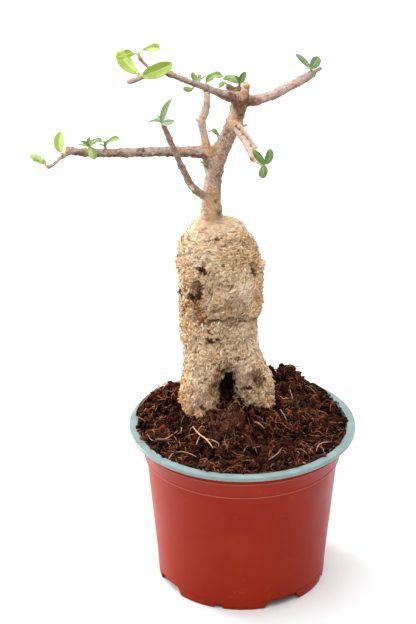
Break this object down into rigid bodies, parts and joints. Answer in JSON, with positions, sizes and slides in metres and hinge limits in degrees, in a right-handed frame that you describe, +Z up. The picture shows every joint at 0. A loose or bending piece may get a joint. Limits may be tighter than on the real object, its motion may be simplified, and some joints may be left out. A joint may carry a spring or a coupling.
{
  "type": "fockea edulis bonsai in a nursery pot",
  "caption": "Caudiciform bonsai with a fat warty root on two legs, thin pruned branches with small leafy sprigs, standing in peaty soil in a round tapered plastic nursery pot with a flat rim.",
  "frame": {"origin": "middle of the flat face that the pot stands on", "axes": "+Z up along the pot's axis and the plant's height, +X to the right and -Y to the front, where both root legs are seen side by side"},
  "size_m": [0.1817, 0.13, 0.3295],
  "materials": {
    "pot_plastic": "satin",
    "soil": "matte",
    "bark": "matte",
    "leaf_bright": "satin",
    "leaf_green": "satin",
    "leaf_grey_green": "satin"
  },
  "bodies": {
    "root": {"pot": "pot_plastic", "soil": "soil", "caudex_and_branches": "bark", "leaf_on_drooping_twig": "leaf_bright", "leaf_at_drooping_tip": "leaf_bright", "rosette_on_left_branch": "leaf_green", "leaf_pair_on_left_branch": "leaf_green", "leaf_pair_at_upper_left_tip": "leaf_bright", "large_leaf_pointing_left": "leaf_bright", "large_leaf_pointing_right": "leaf_bright", "sprig_on_front_twig": "leaf_grey_green", "sprig_on_upper_left_branch": "leaf_green", "leaf_on_upright_twig": "leaf_green", "leaf_under_upper_left_branch": "leaf_green", "sprig_on_broken_stump": "leaf_green", "small_leaf_on_broken_stump": "leaf_green", "sprig_on_right_branch": "leaf_grey_green", "sprig_on_lower_right_branch": "leaf_green", "leaf_in_fork": "leaf_green", "small_leaf_on_trunk": "leaf_green", "bud_on_limb": "leaf_bright"}
  },
  "joints": []
}
